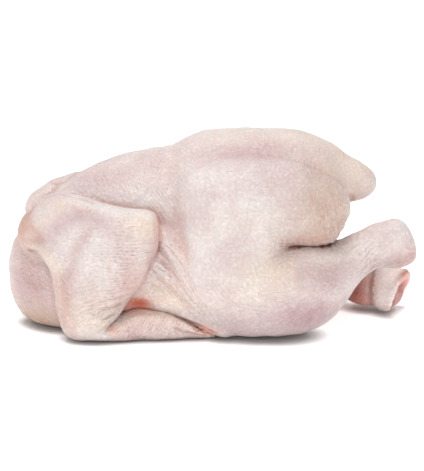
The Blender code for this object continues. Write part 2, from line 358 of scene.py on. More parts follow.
def with_wing(d, side, seams):
    """The field with the folds before one thigh joined to it, and the folded wing and its tip laid on it."""
    d = union(d, mass(side, (-24, -37.5, 25), (29, 17, 15)), 6)  # lower edge of the breast muscle
    d = union(d, union(limb(side, LONG_FOLD), limb(side, SHORT_FOLD), 3), 6)
    d = d + 5 * spot(side, (-50, -50, 23.5), (8, 14, 4)) - 2.5 * spot(side, (-35, -48, 62), (6, 12, 8))
    d = union(d, limb(side, FLAP), 3)
    tip = plate(side, WING_TIP, (-80, -70, -10), (16, -40, 26), tip_shape)
    d = tucked(d, tip, CREASE_BLEND, 1.0, 1.6, seams)
    wing = plate(side, WING, (-135, -75, -4), (-28, -20, 106), wing_shape)
    wrist = (1 - ease(side[:, 2], 5, 12)) * ease(side[:, 0], -92, -80)  # where the wing runs into its tip
    d = tucked(d, wing, 1.5 + 11 * wrist, 1.4 * (1 - wrist), 2, seams)
    return d + 1.6 * stroke(side, FRONT_TUCK, 1.8) + 1.2 * stroke(side, WING_TOP, 2.2)


def chicken(p, seams=None):
    """The distance in mm from places in mm to the skin, less than nothing inside: all parts joined in turn.

    seams collects what tucked() gives for the neck, two shoulders, two legs, the cuff and each wing.
    """
    mirrored = p * np.array(FLIP)
    sides = (p, mirrored)
    d = trunk(p, sides)
    d = tucked(d, limb(p, NECK_SKIN, 1.4), CREASE_BLEND, 0.8, 2, seams)
    for side in sides:
        shoulder = mass(side, (-110, -27, 69), (24, 22, 22), pitch=-10)
        d = tucked(d, shoulder, FOLD_BLEND, 0.8, 2, seams)
        for line in NECK_CREASES:
            d = d + 1.4 * stroke(side, line, 2.0)
    free = ease(p[:, 0], 42, 58)  # the leg stands clear of the thigh behind the knee
    behind = CREASE_BLEND + 20 * (1 - ease(p[:, 0], 30, 56))
    d = tucked(d, sliced(limb(p, RAISED_LEG, 0.92), p, RAISED_CUT, 5), behind, 1.4 * free, 1.5, seams)
    d = tucked(d, limb(p, LOWERED_LEG), behind, 1.4 * free, 1.5, seams)
    cuff = sliced(limb(p, CUFF), p, LOWERED_CUT, 3, dish=3.5)
    d = tucked(d, cuff, CREASE_BLEND, 1.0, 1.6, seams)
    for side in (p, mirrored * np.array([1, 1, 1 / LOWER_WING])):
        d = with_wing(d, side, seams)
    return -union(-d, p[:, 2], 9)


def field_on_grid(step, ratios=(4, 2)):
    """The field on a rough grid, twice filled in and worked out again near the skin, down to this step."""
    rough = step * np.prod(ratios)
    counts = [int(np.ceil((high - low) / rough)) for low, high in zip(ROOM_LOW, ROOM_HIGH)]
    axes = [low + rough * np.arange(n + 1) for low, n in zip(ROOM_LOW, counts)]
    places = np.stack(np.meshgrid(*axes, indexing="ij"), -1)
    grid = chicken(places.reshape(-1, 3)).reshape(places.shape[:-1])
    for ratio in ratios:
        for axis in range(3):
            spans = grid.shape[axis] - 1
            at = np.arange(spans * ratio + 1)
            lower = np.minimum(at // ratio, spans - 1)
            share = ((at - lower * ratio) / ratio).reshape([-1 if a == axis else 1 for a in range(3)])
            grid = np.take(grid, lower, axis) * (1 - share) + np.take(grid, lower + 1, axis) * share
        near = np.abs(grid) < rough * 1.25  # a little more than one rough step from the skin
        rough = rough / ratio
        grid[near] = chicken(np.array(ROOM_LOW) + rough * np.argwhere(near))
    return grid


def corner_normals(points, quads):
    """Unit normals at the points: each face's diagonals crossed, summed over the faces round a point."""
    a, b, c, d = (points[quads[:, k]] for k in range(4))
    facing = np.cross(c - a, d - b)
    normals = np.zeros_like(points)
    for k in range(4):
        for axis in range(3):
            normals[:, axis] += np.bincount(quads[:, k], facing[:, axis], len(points))
    return normals / np.maximum(length(normals), 1e-9)[:, None]


def relaxed(points, quads, rounds, share):
    """The points moved this share of the way to the mean of their neighbours, this many times."""
    starts, ends = quads.ravel(), np.roll(quads, -1, 1).ravel()
    count = np.bincount(starts, minlength=len(points)) + np.bincount(ends, minlength=len(points))
    for _ in range(rounds):
        mean = np.empty_like(points)
        for axis in range(3):
            total = np.bincount(starts, points[ends, axis], len(points))
            total += np.bincount(ends, points[starts, axis], len(points))
            mean[:, axis] = total / np.maximum(count, 1)
        points = points + share * (mean - points)
    return points


def skin_surface(step):
    """Points and quads of the closed skin, on a grid of this step in mm.

    Each point is slid along its normal by the field there, twice, so that it lies where the field is nothing.
    """
    grid = openvdb.FloatGrid()
    grid.copyFromArray(field_on_grid(step).astype(np.float32))
    points, _, quads = grid.convertToPolygons(isovalue=0.0, adaptivity=0.0)
    points = points.astype(float) * step + np.array(ROOM_LOW)
    quads = quads.astype(np.int64)
    for _ in range(2):
        normals = corner_normals(points, quads)
        points = points - normals * np.clip(chicken(points), -1, 1)[:, None]
    return relaxed(points, quads, 2, 0.4), quads


def spot(p, centre, size):
    """exp(-sum(((p - centre) / size)^2))."""
    return np.exp(-((((p - np.array(centre, float)) / np.array(size, float)) ** 2).sum(-1)))


def ripples(p, size, seed):
    """A smooth random field between about -1 and 1: eight sine waves of about this length, scattered."""
    draw = np.random.default_rng(seed)
    total = np.zeros(len(p))
    for _ in range(8):
        way = draw.normal(size=3)
        way *= 2 * np.pi / (size * draw.uniform(0.75, 1.35)) / np.linalg.norm(way)
        total += np.sin(p @ way + draw.uniform(0, 2 * np.pi))
    return total / 3.2


def patches(p, places):
    """Spots joined so that they never pass 1. Each place is centre, size and strength."""
    clear = np.ones(len(p))
    for centre, size, strength in places:
        clear *= 1 - strength * spot(p, centre, size)
    return 1 - clear


def left_side(p):
    """Places carried over to the bird's left side, and the same in the left wing's own height."""
    side = p * np.where(p[:, 1:2] > 0, FLIP, 1)
    wing = side.copy()
    wing[:, 2] = np.where(p[:, 1] > 0, side[:, 2] / LOWER_WING, side[:, 2])
    return side, wing


def on_wing(wing):
    """1 on the outer face of the folded wing, easing to 0 at its outline."""
    return ease(-outline(wing[:, [0, 2]], WING), 0, 5) * ease(-wing[:, 1], 36, 44)


def on_hand(wing):
    """1 on the outer face of the wing's tip, easing to 0 at its outline and under the forearm."""
    edge = ease(-outline(wing[:, [0, 2]], WING_TIP), 0, 3) * ease(-wing[:, 1], 40, 47)
    return edge * ease(outline(wing[:, [0, 2]], WING), -1, 3)


def cut_place(p):
    """How far each point is beyond the lowered leg's cut, from its middle, and at what angle round it."""
    place, facing = (np.array(row) for row in LOWERED_CUT)
    facing = facing / length(facing)
    beyond = (p - place) @ facing
    across = p - place - beyond[:, None] * facing
    sideways = np.cross(facing, (0, 0, 1))
    sideways = sideways / length(sideways)
    return beyond, length(across), np.arctan2(across @ sideways, across @ np.cross(sideways, facing))


def hollows(points, quads, rounds, depth):
    """From -1 on sharp ridges to 1 in creases: how far smoothing would lift each point along its normal."""
    normals = corner_normals(points, quads)
    lift = ((relaxed(points, quads, rounds, 0.5) - points) * normals).sum(1)
    return np.clip(lift / depth, -1, 1)


def beside(p, facing, line):
    """How far each point is to the right of a smooth line over the skin, and how far from it.

    Right is the line's way crossed with the skin's normal, and both are CREASE_REACH far from the line.
    """
    line = smooth_line(line, 6)
    near = near_box(p, line, CREASE_REACH)
    close = p[near]
    offset = np.zeros(len(close))
    best = np.full(len(close), FAR)
    for a, b in zip(line[:-1], line[1:]):
        away, _ = from_span(close, a, b)
        gap = length(away)
        right = np.cross((b - a) / length(b - a), facing[near])
        offset = np.where(gap < best, (away * right).sum(1), offset)
        best = np.minimum(best, gap)
    offsets, gaps = np.full((2, len(p)), CREASE_REACH)
    offsets[near], gaps[near] = offset, best
    return offsets, gaps


def creases(p, side, facing):
    """The nearest crease at each point: how far to one side of it in mm, how deep it is and how red its line
    of painted shade is.
    """
    seams = []
    chicken(p, seams)
    neck, shoulder, far_shoulder, leg, far_leg, cuff, hand, wing, far_hand, far_wing = seams
    left = p[:, 1] < 0
    x, z = side[:, 0], side[:, 2]
    shoulder, leg = np.where(left, shoulder, far_shoulder), np.where(left, leg, far_leg)
    hand, wing = np.where(left, hand, far_hand), np.where(left, wing, far_wing)
    off_wing = 1 - ease(wing, 0, 2)
    below_hand = 0.5 + 0.6 * spot(side, (-56, -60, 20), (18, 30, 20))
    round_wing = 0.25 + 0.35 * ease(z, 80, 90) + 0.7 * spot(side, (-64, -60, 15), (12, 20, 8))
    rows = [
        (neck, 0.5 * off_wing * (1 - ease(shoulder, 0, 2)) * (x < -60), 0.2),
        (leg, 1.2 * ease(x, 50, 56) * (1 - ease(x, 96, 104)), 1.0),
        (cuff, 0.8 * ease(p[:, 0], 100, 108), 0.8),
        (hand, below_hand * off_wing * (1 - ease(x, -16, 6)), 0.6),
        (wing, round_wing * ease(z, 7, 11), 0.3),
    ]
    for line, depth, red in (
        (FRONT_TUCK[:4], 1.0, 0.75), (TAIL_FOLD[1:], 0.35, 0.1), (NECK_CREASES[0], 0.5, 0.2),
        (HIP[3:], 0.25, 0.1), (WING_TOP[:7], 0.6, 0.15), (FLAP_FOLDS[0], 0.7, 0.6), (FLAP_FOLDS[1], 0.7, 0.6),
    ):
        offset, gap = beside(side, facing, line)
        rows.append((offset, depth * (1 - ease(gap, 3, 7)), red))
    offsets = np.stack([row[0] for row in rows])
    depths = np.stack([row[1] * (1 - ease(np.abs(row[0]), 3, 6)) for row in rows])
    reds = np.stack([np.full(len(p), row[2]) for row in rows])
    nearest = np.argmax(depths * bump(offsets, 2), 0)[None]
    offset, depth, red = (np.take_along_axis(table, nearest, 0)[0] for table in (offsets, depths, reds))
    return np.clip(offset, -6, 6), depth, red


def web_fan(side, wing):
    """The web of skin before the thigh: each point's angle and distance from its foot, and 1 on it."""
    clear = ease(outline(wing[:, [0, 2]], WING), 0, 4)
    x, z = side[:, 0] - 14, side[:, 2] - 2
    angle, reach = np.arctan2(z, x), np.hypot(x, z)
    web = ease(angle, 2.02, 2.12) * (1 - ease(angle, 2.42, 2.6))
    web = web * ease(reach, 6, 16) * (1 - ease(reach, 78, 90))
    return angle, reach, web * clear * ease(-side[:, 1], 38, 46)


def gathers(wing):
    """The skin drawn together at the wing's lower end: how far each point is across its folds, and 1 on them.

    The folds run along the bird low down and slope more the higher they are.
    """
    x, z = wing[:, 0], wing[:, 2]
    rows = z - (0.06 + 0.5 * (1 - ease(z, 12, 55))) * (x + 70)
    return rows, on_wing(wing) * ease(np.hypot(z - 8, x + 66), 3, 9)


def wrinkle_systems(p, side, wing):
    """Each family of fine wrinkles: how far each point is across its lines in mm, and how strong it is."""
    x, z = wing[:, 0], wing[:, 2]
    sx, sz = side[:, 0], side[:, 2]
    rows, held = gathers(wing)
    spread, reach, web = web_fan(side, wing)
    ring = np.hypot(sx - 34, sz - 60)
    thigh = ease(ring, 18, 28) * (1 - ease(ring, 40, 54)) * ease(-side[:, 1], 50, 60) * ease(60 - sz, 0, 20)
    knee = np.hypot(sx - 55, sz - 66)
    turn = np.arctan2(sz - 66, sx - 57)
    puckers = ease(knee, 1, 4) * (1 - ease(knee, 8, 17))
    puckers = puckers * ease(-side[:, 1], 50, 58) * ease(np.abs(turn), 1.4, 2.0)
    cuff = ease(p[:, 0], 116, 124) * ease(p[:, 1] * 0.9 - p[:, 2], -42, -34)
    return (
        (rows, held * patches(wing, (
            ((-54, -60, 60), (32, 40, 32), 0.9), ((-68, -60, 24), (26, 40, 16), 0.9),
        ))),
        ((x * 0.72 - z * 0.69) * 1.2, on_hand(wing) * 0.7),
        (spread * 48, web * 0.8 * ease(reach, 14, 30)),
        (ring * 0.8, thigh * 0.25),  # rings round its middle
        (sx * 0.82 + sz * 0.57, spot(side, (-42, -40, 98), (24, 26, 22)) * (1 - on_wing(wing)) * 0.5),  # back
        (p[:, 2] * 0.6 - p[:, 0] * 0.45, 1.0 * spot(p, (108, -38, 54), (18, 18, 16))),  # drumstick
        (sx * 0.8 + sz * 0.15, spot(side, (82, -48, 84), (18, 28, 22))),  # rump
        (turn * 9, puckers * 0.9),  # from the knee outwards
        (cut_place(p)[2] * 11, cuff * 0.25),  # along the lowered leg's end
    )


def wrinkles(p, side, wing):
    """The strongest family at each point, less the next one, so that lines fade where two families meet."""
    systems = wrinkle_systems(p, side, wing)
    wander = 1.0 * ripples(p, 22, 11) + 0.45 * ripples(p, 8, 12)
    phases = np.stack([phase + wander for phase, _ in systems])
    broken = 0.45 + 0.55 * ease(ripples(p, 9, 13) + 0.6 * ripples(p, 21, 14), -0.6, 0.9)
    masks = np.stack([mask * broken for _, mask in systems])
    order = np.argsort(masks, 0)
    first = np.take_along_axis(masks, order[-1:], 0)[0]
    second = np.take_along_axis(masks, order[-2:-1], 0)[0]
    return np.take_along_axis(phases, order[-1:], 0)[0], np.clip(first - second, 0, 1)


def relief(p, side, wing):
    """How far in mm the skin stands out from the field: lumps, folds, grooves, rims and ridges added up."""
    flat = on_wing(wing)
    xz = wing[:, [0, 2]]
    out = 0.5 * ripples(p, 34, 1) + 0.22 * ripples(p, 13, 2)
    for height, line, width in (
        (-1.5, WING_GROOVE, 5), (0.8, WING_BRACE, 5), (-0.9, WING_SLANT, 6), (0.5, FRONT_EDGE, 5),
    ):
        out = out + height * flat * stroke(xz, line, width)
    rows, held = gathers(wing)
    gathered = held * spot(wing, (-64, -60, 23), (17, 40, 14))
    out = out + 1.1 * gathered * np.sin(2 * np.pi * (rows + 1.5 * ripples(p, 24, 3)) / 5.5)
    spread, _, web = web_fan(side, wing)
    out = out + 0.7 * web * np.sin(spread * 46 + 0.8 * ripples(p, 25, 4))
    out = out + 1.6 * on_hand(wing) * stroke(xz, HAND_EDGE, 2.4)
    for line in FLAP_FOLDS:
        raised = np.array(line) + (0, 0, 3.2)
        out = out + 1.0 * stroke(side, raised, 2.2) - 1.0 * stroke(side, line, 1.6)
    wander = 1.2 * ripples(p, 18, 6)
    end = ease(p[:, 0], 122, 130) * ease(p[:, 1], -16, -8) * (1 - ease(p[:, 2], 34, 40))
    for across, spacing, height, mask in (
        (side[:, 0] + 0.25 * side[:, 2], 5.5, 0.55, spot(side, (84, -44, 80), (15, 26, 18))),  # rump
        (p[:, 2] * 0.75 - p[:, 0] * 0.6, 5.0, 0.5, spot(p, (107, -40, 52), (16, 20, 15))),  # drumstick
        (cut_place(p)[2] * 16, 7.5, 0.2, end),
    ):
        out = out + height * mask * np.sin(2 * np.pi * across / spacing + wander)
    torn = bump(cut_place(p)[0] + 3, 5) * ease(p[:, 0], 110, 120) * ease(p[:, 1], -10, 0)
    return out + 0.8 * torn * ripples(p, 12, 5)


def tissue_and_painted_shading(p, side, wing):
    """Named values from 0 to 1 that say where each tissue shows through the skin and where shade and light
    are painted: the most of its patches.
    """
    flat, hand = on_wing(wing), on_hand(wing)
    xz = wing[:, [0, 2]]
    outer = ease(-wing[:, 1], 40, 47)
    low_front = ease(-wing[:, 2], -60, -40)
    kneecap = ease(side[:, 0], 53, 59)  # the drumstick's skin begins behind it
    far_side = 1 - ease(-p[:, 1], -4, 8)
    shade = spot(p, (103, 12, 16), (15, 20, 18)) * far_side  # painted shade on the lowered leg below the raised one
    beyond, across, angle = cut_place(p)
    far_end = ease(p[:, 0], 116, 122) * far_side
    cut = ease(beyond, -5.5, -3.5) * (1 - ease(across, 12, 14)) * far_end
    rim = bump(beyond + 2.5, 2.5) * ease(across, 11, 13) * far_end
    oval = bump(np.hypot(across * np.cos(angle) - 1, across * np.sin(angle) + 2), 5.5)
    fat = most(
        patches(side, (
            ((42, -72, 54), (20, 30, 13), 0.7), ((30, -72, 40), (20, 30, 10), 0.3),
            ((-28, -50, 30), (26, 22, 9), 1.0), ((40, -6, 136), (70, 30, 9), 0.4),
            ((86, -6, 112), (30, 30, 20), 1.0), ((20, -66, 88), (26, 20, 14), 0.2),
        )),
        flat * patches(wing, (
            ((-44, -58, 84), (13, 30, 12), 0.9), ((-92, -50, 98), (28, 30, 5), 0.9),
            ((-74, -60, 20), (24, 30, 16), 0.6),
        )),
        0.75 * outer * stroke(xz, FRONT_EDGE, 5) * ease(wing[:, 2], 40, 60),
        # painted highlight along the brace's ridge
        0.6 * flat * stroke(xz, WING_BRACE, 3),
        0.9 * stroke(xz, HAND_EDGE, 2.8) * outer,
        0.7 * stroke(side, KNEE_SKIN, 3.5),
    )
    # muscle showing through, partly painted shade low on the drumstick and belly and on the knob's lower side
    body_muscle_and_painted_shade = np.maximum(
        patches(side, (
            ((-124, -34, 36), (24, 34, 23), 0.95), ((66, -70, 22), (32, 26, 14), 1.0),
            ((24, -66, 14), (28, 26, 11), 0.35), ((30, -40, 130), (40, 16, 8), 0.8),
            ((-36, -50, 61), (6, 14, 10), 0.75), ((138, -36, 51), (12, 16, 9), 0.8),
            ((60, -50, 116), (30, 14, 10), 0.35), ((-42, -26, 112), (22, 24, 14), 0.25),
            ((-80, -24, 108), (18, 20, 12), 0.5), ((128, -44, 49), (15, 12, 6), 0.7),
            ((20, -50, 116), (20, 14, 10), 0.2),
        )),
        0.65 * kneecap * spot(side, (72, -60, 48), (28, 22, 20)),
    )
    # muscle showing through, and painted shade in the hollow below the brace and along the groove
    wing_muscle_and_painted_shade = np.maximum(
        0.55 * stroke(xz, WING_SLANT, 7) + 0.45 * spot(wing, (-76, -56, 86), (12, 30, 7)),
        0.35 * stroke(xz, WING_GROOVE, 5),
    )
    # muscle and painted shade joined, with the painted shade on the lowered leg and the cut face
    lean = most(body_muscle_and_painted_shade * (1 - flat), flat * wing_muscle_and_painted_shade, 0.95 * shade, 0.95 * cut)
    flush = most(
        patches(side, (
            ((-131, -36, 75), (14, 26, 16), 1.0), ((-116, 10, 90), (18, 34, 12), 0.4),
            ((100, -14, 93), (10, 20, 5), 0.6), ((70, -57, 73), (17, 20, 5), 0.9),
            ((-8, -56, 8), (13, 12, 5), 0.6), ((-28, -34, 118), (6, 14, 12), 0.3),
            ((-44, -52, 28), (8, 14, 3.5), 0.7), ((-60, -20, 118), (60, 40, 24), 0.14),
            ((40, -30, 132), (40, 20, 10), 0.14),
        )),
        # pink skin and painted shade along the flank's valley
        0.5 * stroke(side, FLANK, 5) * ease(side[:, 2], 20, 40),
        flat * patches(wing, (((-51, -62, 43), (11, 30, 15), 0.8), ((-58, -62, 24), (8, 30, 8), 0.35))),
        0.7 * stroke(xz, WING_REAR, 3.5) * outer,
        0.5 * spot(wing, (-105, -54, 21), (5, 20, 20)),
        0.5 * outer * stroke(xz, FRONT_EDGE, 7) * low_front,
        0.35 * hand,
        # painted shade along the wing's groove
        0.12 * flat * stroke(xz, WING_GROOVE, 3),
        0.45 * stroke(xz, HAND_EDGE, 2.6) * outer,
        spot(p, (141, -31, 50), (13, 18, 9)),
        0.7 * rim,
        *(0.7 * stroke(side, line, 2) for line in FLAP_FOLDS),
    )
    # tan skin, partly painted shade on the rump and low under the breast
    tan = np.maximum(0.3 * (outer * stroke(xz, FRONT_EDGE, 8) * low_front), patches(side, (
        ((77, -50, 89), (25, 28, 32), 0.88), ((-122, -30, 8), (24, 40, 12), 1.0),
        ((86, -6, 118), (26, 26, 12), 0.18), ((-131, -36, 72), (12, 26, 14), 0.3),
        ((104, -4, 104), (12, 20, 12), 0.2), ((97, -14, 94), (6, 16, 8), 0.5),
        ((-124, -34, 40), (20, 30, 22), 0.25),
    )))
    raw = most(
        patches(wing, (
            ((-49, -46, 24), (8.5, 7, 4), 1.0), ((-57, -52, 22), (5, 6, 2), 0.6),
            ((-67, -60, 10), (3, 12, 2.2), 0.35), ((-3, -57, 8), (7, 8, 3.5), 0.45),
        )),
        # painted shade on the lowered leg
        (0.6 + 0.3 * ripples(p, 9, 8)) * shade,
        0.6 * cut * bump(across - 10, 3) * ease(p[:, 2], 14, 24),
        0.35 * rim * ease(np.cos(angle + 0.6) + 0.4 * ripples(p, 9, 6), -0.2, 0.8),
    )
    blood = most(
        # painted shade on the lowered leg
        shade,
        cut * (0.5 + 0.45 * oval),
        0.5 * rim * ease(p[:, 2], 12, 24),
        0.6 * spot(p, (138, -6, 16), (4, 5, 7)),
        0.25 * spot(wing, (-51, -50, 24), (5, 9, 1.6)),
    )
    below_end = ease(-p[:, 2] - 0.4 * p[:, 1], -12, -4)
    # sinew at the cut end, and painted light where shade falls
    pale = most(
        0.95 * far_end * (1 - ease(beyond, -5, -3)) * (1 - 0.6 * below_end),
        # painted light on the drumstick's top under the rump
        patches(side, (((76, -52, 60), (22, 14, 6), 1.0), ((95, -40, 64), (14, 14, 7), 0.9))) * kneecap,
        patches(side, (
            ((10, -4, 137), (60, 18, 10), 0.3), ((-28, -50, 30), (24, 20, 8), 0.4),
            # (-14, -56, 8) is painted light on the lower flank, which faces down
            ((-14, -56, 8), (12, 8, 5), 0.6), ((-46, -60, 50), (8, 20, 16), 0.3),
            ((92, -6, 110), (24, 20, 14), 0.35),
        )),
        0.3 * web_fan(side, wing)[2],
    )
    return {"fat": fat, "lean": lean, "flush": flush, "tan": tan, "raw": raw, "pale": pale, "blood": blood}


def put_in_mesh(name, points, quads, values):
    """A smooth mesh object from points in metres and quads, with each named value as a float per point."""
    mesh = bpy.data.meshes.new(name)
    mesh.vertices.add(len(points))
    mesh.vertices.foreach_set("co", points.astype(np.float32).ravel())
    mesh.loops.add(quads.size)
    mesh.loops.foreach_set("vertex_index", quads.astype(np.int32).ravel())
    mesh.polygons.add(len(quads))
    mesh.polygons.foreach_set("loop_start", np.arange(0, quads.size, 4, dtype=np.int32))
    mesh.update(calc_edges=True)
    mesh.validate()
    for title, numbers in values.items():
        layer = mesh.attributes.new(title, "FLOAT", "POINT")
        layer.data.foreach_set("value", numbers.astype(np.float32))
    mesh.shade_smooth()
    piece = bpy.data.objects.new(name, mesh)
    bpy.context.scene.collection.objects.link(piece)
    return piece


class Nodes:
    """Short calls for building a material's nodes."""

    def __init__(self, material):
        material.use_nodes = True
        self.tree = material.node_tree
        self.shader = self.tree.nodes["Principled BSDF"].inputs

    def add(self, kind, inputs=(), **settings):
        node = self.tree.nodes.new(kind)
        for name, value in settings.items():
            setattr(node, name, value)
        for key, value in dict(inputs).items():
            self.feed(node.inputs[key], value)
        return node

    def feed(self, socket, value):
        if isinstance(value, bpy.types.NodeSocket):
            self.tree.links.new(value, socket)
        else:
            socket.default_value = value

    def value(self, name):
        return self.add("ShaderNodeAttribute", attribute_name=name).outputs["Fac"]

    def maths(self, operation, a, b=0.0, clamp=False):
        return self.add("ShaderNodeMath", {0: a, 1: b}, operation=operation, use_clamp=clamp).outputs[0]

    def plus(self, a, b):
        return self.maths("ADD", a, b)

    def less(self, a, b):
        return self.maths("SUBTRACT", a, b)

    def times(self, a, b, clamp=False):
        return self.maths("MULTIPLY", a, b, clamp)

    def spread(self, value, low, high, to_low=0.0, to_high=1.0):
        inputs = {"Value": value, "From Min": low, "From Max": high, "To Min": to_low, "To Max": to_high}
        return self.add("ShaderNodeMapRange", inputs, clamp=True).outputs["Result"]

    def mix(self, share, a, b, blend="MIX"):
        node = self.add("ShaderNodeMix", data_type="RGBA", blend_type=blend, clamp_factor=True)
        self.feed(node.inputs[0], share)
        self.feed(node.inputs[6], a)
        self.feed(node.inputs[7], b)
        return node.outputs[2]

    def grey(self, level):
        return self.add("ShaderNodeCombineColor", {0: level, 1: level, 2: level}).outputs[0]

    def noise(self, where, scale, detail=3.0, rough=0.55):
        inputs = {"Vector": where, "Scale": scale, "Detail": detail, "Roughness": rough}
        return self.add("ShaderNodeTexNoise", inputs).outputs["Fac"]

    def dent(self, height, distance, strength, below=None):
        inputs = {"Height": height, "Distance": distance, "Strength": strength}
        if below is not None:
            inputs["Normal"] = below
        return self.add("ShaderNodeBump", inputs).outputs["Normal"]


def skin_material(sizes, colours):
    """Raw skin: thin, satin and slightly see-through, tinted where fat, muscle and blood lie under it, with
    painted shade and light.
    """
    material = bpy.data.materials.new("raw_skin")
    n = Nodes(material)
    tone = {name: tuple(getattr(colours, name)) for name in ChickenColours.__annotations__}
    where = n.add("ShaderNodeTexCoord").outputs["Object"]
    broad = n.noise(where, 45.0, 2.0)
    cloudy = n.noise(where, 130.0, 3.0)
    fine = n.noise(where, 560.0, 3.0)

    # goose bumps and thin veins, on places moved about by a small noise
    shift = n.add("ShaderNodeTexNoise", {"Vector": where, "Scale": 160.0, "Detail": 2.0}).outputs["Color"]
    small = n.add("ShaderNodeVectorMath", {0: shift, "Scale": 0.004}, operation="SCALE").outputs[0]
    warped = n.add("ShaderNodeVectorMath", {0: where, 1: small}, operation="ADD").outputs[0]
    inputs = {"Vector": warped, "Scale": 1 / sizes.follicle_spacing, "Smoothness": 0.4}
    cells = n.add("ShaderNodeTexVoronoi", inputs, feature="SMOOTH_F1").outputs["Distance"]
    dots = n.spread(cells, 0.05, 0.6, 1.0, 0.0)
    veins = n.maths("ABSOLUTE", n.less(n.noise(warped, 300.0, 2.0, 0.5), 0.5))
    furrows = n.spread(veins, 0.0, 0.07, 1.0, 0.0)

    # the skin's own colour, then what lies under it; some of these values also carry painted shade and
    # painted light
    colour = n.mix(n.spread(broad, 0.38, 0.62), tone["skin_pale"], tone["skin"])
    colour = n.mix(n.times(n.spread(cloudy, 0.52, 0.75), 0.07), colour, tone["flush"])
    colour = n.mix(n.times(n.spread(cloudy, 0.25, 0.46, 1.0, 0.0), 0.06), colour, tone["lean"])
    for name, low, high in (("fat", 0.8, 1.1), ("lean", 0.8, 1.1), ("flush", 0.7, 1.2), ("tan", 0.75, 1.15)):
        uneven = n.spread(cloudy, 0.3, 0.7, low, high)
        amount = n.times(n.value(name), uneven, clamp=True)
        colour = n.mix(amount, colour, tone[name])
    # sinew, and painted light on the drumstick under the rump and on the lower flank
    colour = n.mix(n.value("pale"), colour, tone["sinew"])
    # painted shade in creases, tinted darker pink, and painted highlight on ridges, tinted pale
    crease = n.value("crease")
    colour = n.mix(n.times(n.spread(crease, 0.2, 0.9), 0.3), colour, tone["flush"])
    colour = n.mix(n.times(n.spread(crease, -0.9, -0.15, 1.0, 0.0), 0.2), colour, tone["skin_pale"])

    # fine wrinkles: a sine of the place across them
    across = n.plus(n.value("across"), n.times(n.spread(fine, 0.2, 0.8, -1, 1), 0.4))
    wave = n.maths("SINE", n.times(across, 2 * np.pi * MM / sizes.wrinkle_spacing))
    depth = n.times(n.value("wrinkle"), n.spread(n.noise(where, 330.0, 1.0), 0.35, 0.55, 0.3, 1.0))
    # painted shade: the troughs of the wrinkles tinted darker pink
    furrow = n.times(n.spread(wave, -1.0, 0.1, 0.55, 0.0), depth, clamp=True)
    colour = n.mix(furrow, colour, tone["flush"])

    # painted light and shade: lighter on what stands out, darker in what lies deep, and painted shade where
    # the skin faces down near the floor
    light = n.plus(n.times(n.times(wave, depth), 0.07), 1.0)
    light = n.plus(light, n.times(n.less(dots, 0.3), 0.16))
    light = n.less(light, n.times(n.less(furrows, 0.3), 0.02))
    grain = n.spread(n.value("fat"), 0.2, 0.9, 0.26, 0.12)
    light = n.plus(light, n.times(n.less(fine, 0.5), grain))
    light = n.less(light, n.times(n.value("damp"), 0.3))
    colour = n.mix(1.0, colour, n.grey(light), "MULTIPLY")

    # bare flesh and blood, and a dark line of painted shade along each crease
    redness = n.times(n.value("raw"), n.spread(fine, 0.3, 0.7, 0.8, 1.1), clamp=True)
    colour = n.mix(redness, colour, tone["raw"])
    colour = n.mix(n.value("blood"), colour, tone["blood"])
    seam = n.maths("ABSOLUTE", n.plus(n.value("seam"), n.spread(fine, 0.25, 0.75, -0.5, 0.5)))
    deep = n.value("seam_depth")
    crease_shade_colour = n.mix(n.value("seam_red"), tone["tan"], tone["blood"])
    colour = n.mix(n.times(n.spread(seam, 0.2, 1.3, 0.9, 0.0), deep, clamp=True), colour, crease_shade_colour)

    normal = n.dent(n.spread(seam, 0.0, 1.8), 0.0012, n.times(deep, 0.8, clamp=True))
    normal = n.dent(wave, 0.0004, depth, normal)
    normal = n.dent(dots, 0.0008, 0.6, normal)
    normal = n.dent(furrows, 0.0005, 0.3, normal)
    normal = n.dent(fine, 0.001, 0.65, normal)
    n.feed(n.shader["Base Color"], colour)
    n.feed(n.shader["Roughness"], n.spread(fine, 0.3, 0.7, 0.34, 0.52))
    n.feed(n.shader["Normal"], normal)
    n.shader["Subsurface Weight"].default_value = 0.2
    n.shader["Subsurface Radius"].default_value = (1.0, 0.42, 0.28)
    n.shader["Subsurface Scale"].default_value = MM
    n.shader["Specular IOR Level"].default_value = 0.45
    return material


def paper_material(stage):
    """White paper that glows a little, except close under the bird, where its shadow lies."""
    paper = bpy.data.materials.new("white_paper")
    n = Nodes(paper)
    n.shader["Base Color"].default_value = tuple(stage.floor)
    n.shader["Roughness"].default_value = 0.9
    n.shader["Specular IOR Level"].default_value = 0.0
    n.shader["Emission Color"].default_value = WHITE
    n.feed(n.shader["Emission Strength"], n.spread(n.value("away"), 0.0, 7.0, 0.0, 0.65))
    return paper


def spacing(name, description, default):
    return bpy.props.FloatProperty(
        name=name, description=description, default=default, min=MM, precision=4, unit="LENGTH",
    )


def brightness(name, description, default):
    return bpy.props.FloatProperty(
        name=name, description=description, default=default, min=0.0, precision=3, unit="POWER",
    )


def tint(name, description, red, green, blue):
    return bpy.props.FloatVectorProperty(
        name=name, description=description, default=(red, green, blue, 1.0),
        size=4, min=0.0, max=1.0, subtype="COLOR",
    )


class ChickenSizes(bpy.types.PropertyGroup):
    grid_step: spacing("Grid step", "Distance between the points of the skin", 1.5 * MM)
    follicle_spacing: spacing("Follicle spacing", "Distance between goose bumps", 2.6 * MM)
    wrinkle_spacing: spacing("Wrinkle spacing", "Distance between fine wrinkles", 2.2 * MM)
    relief: bpy.props.FloatProperty(
        name="Relief", description="How strongly folds and ridges stand out",
        default=1.0, min=0.0, max=2.0, subtype="FACTOR",
    )


